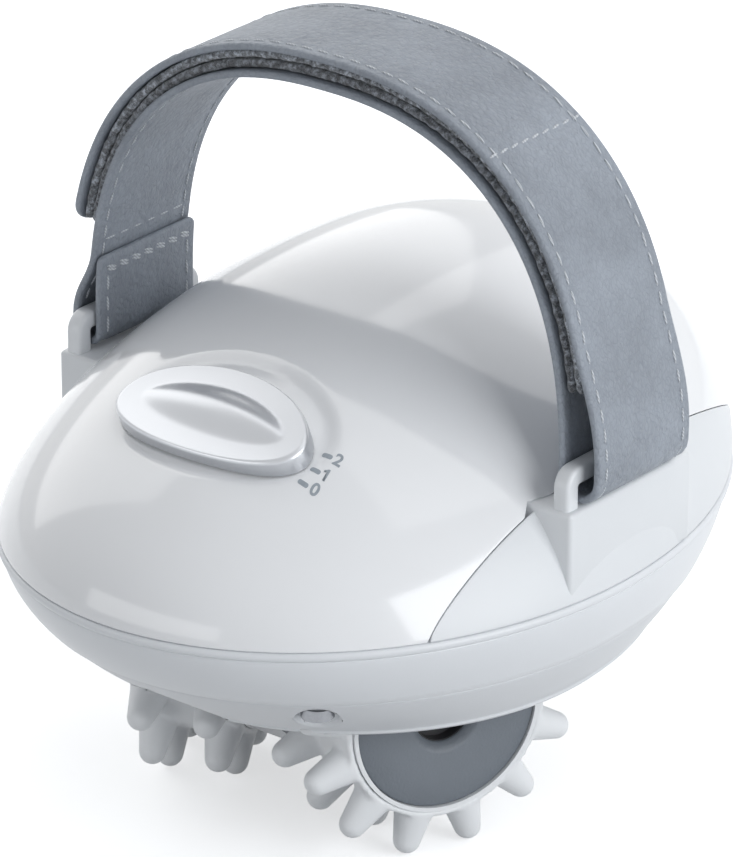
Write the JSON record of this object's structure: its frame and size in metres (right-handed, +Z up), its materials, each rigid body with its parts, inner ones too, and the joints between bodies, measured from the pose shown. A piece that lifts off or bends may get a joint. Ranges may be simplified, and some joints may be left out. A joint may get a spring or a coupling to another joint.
{
  "type": "handheld roller massager",
  "caption": "Palm-held body massager: glossy dome with a hand strap and slide switch over toed-in motor-driven nubbed rollers.",
  "frame": {"origin": "centre of the whole object's bounding box in plan, on the surface that the roller nubs stand on", "axes": "+Z up from the surface, +X to the object's right across the strap, +Y from the nose to the rear"},
  "size_m": [0.1133, 0.141, 0.1324],
  "materials": {
    "hood": "high gloss white",
    "panel": "satin white",
    "tray": "satin white",
    "base": "satin white",
    "inner": "plain moulded",
    "loop": "semi gloss white",
    "nubs": "soft satin white",
    "core": "satin white",
    "disc": "fine grained grey",
    "knob": "satin silver lacquer",
    "strap": "grained grey imitation leather",
    "hook": "hook side of a touch fastener",
    "pile": "loop side of a touch fastener",
    "steel": "bright steel",
    "screw": "dark plated steel",
    "brass": "turned brass",
    "bronze": "sintered bronze",
    "acetal": "natural acetal",
    "housing": "light grey moulded",
    "dark": "black moulded",
    "board": "glass epoxy board"
  },
  "bodies": {
    "body": {"hood": "hood", "side_panel_right": "panel", "side_panel_left": "panel", "lower_tray": "tray", "base_ring": "base", "floor_plate": "inner", "wheel_arch_right": "inner", "wheel_arch_left": "inner", "case_screws": "screw", "gear_housing_right": "housing", "gear_housing_left": "housing", "housing_screws": "screw", "motor_can": "steel", "motor_end_cap": "dark", "motor_terminals": "brass", "bush_right": "bronze", "bush_left": "bronze", "slide_switch": "dark", "circuit_board": "board", "dc_inlet": "dark", "strap_loop_right": "loop", "strap_loop_left": "loop", "strap_band": "strap", "hook_strip": "hook", "loop_strip": "pile"},
    "wheel_right": {"axle_right": "steel", "wheel_core_right": "core", "nub_tyre_right": "nubs", "end_disc_right": "disc", "axle_clip_right": "steel"},
    "wheel_left": {"axle_left": "steel", "wheel_core_left": "core", "nub_tyre_left": "nubs", "end_disc_left": "disc", "axle_clip_left": "steel"},
    "drive": {"worm_wheel": "acetal", "cross_shaft": "steel", "drive_pins": "steel"},
    "worm_shaft": {"worm": "brass", "motor_shaft": "steel"},
    "switch_slider": {"switch_knob": "knob", "switch_carriage": "dark"}
  },
  "joints": [
    {"name": "wheel_right_spin", "type": "hinge", "parent": "body", "child": "wheel_right", "pos_m": [0, -0.0058, 0.0256], "axis": [0.9171, -0.3987, 0], "continuous": true},
    {"name": "wheel_left_spin", "type": "hinge", "parent": "body", "child": "wheel_left", "pos_m": [0, -0.0058, 0.0256], "axis": [0.9171, 0.3987, 0], "continuous": true},
    {"name": "drive_spin", "type": "hinge", "parent": "body", "child": "drive", "pos_m": [0, -0.01058, 0.0256], "axis": [1, 0, 0], "continuous": true},
    {"name": "worm_spin", "type": "hinge", "parent": "body", "child": "worm_shaft", "pos_m": [0, -0.02258, 0.0256], "axis": [0, 0, 1], "continuous": true},
    {"name": "switch_slide", "type": "slide", "parent": "body", "child": "switch_slider", "axis": [0, 0.9188, 0.3947], "range_m": [0, 0.004]}
  ],
  "couplings": [
    {"joint": "wheel_left_spin", "follows": "wheel_right_spin", "ratio": 1},
    {"joint": "drive_spin", "follows": "wheel_right_spin", "ratio": 1},
    {"joint": "worm_spin", "follows": "wheel_right_spin", "ratio": 16}
  ]
}
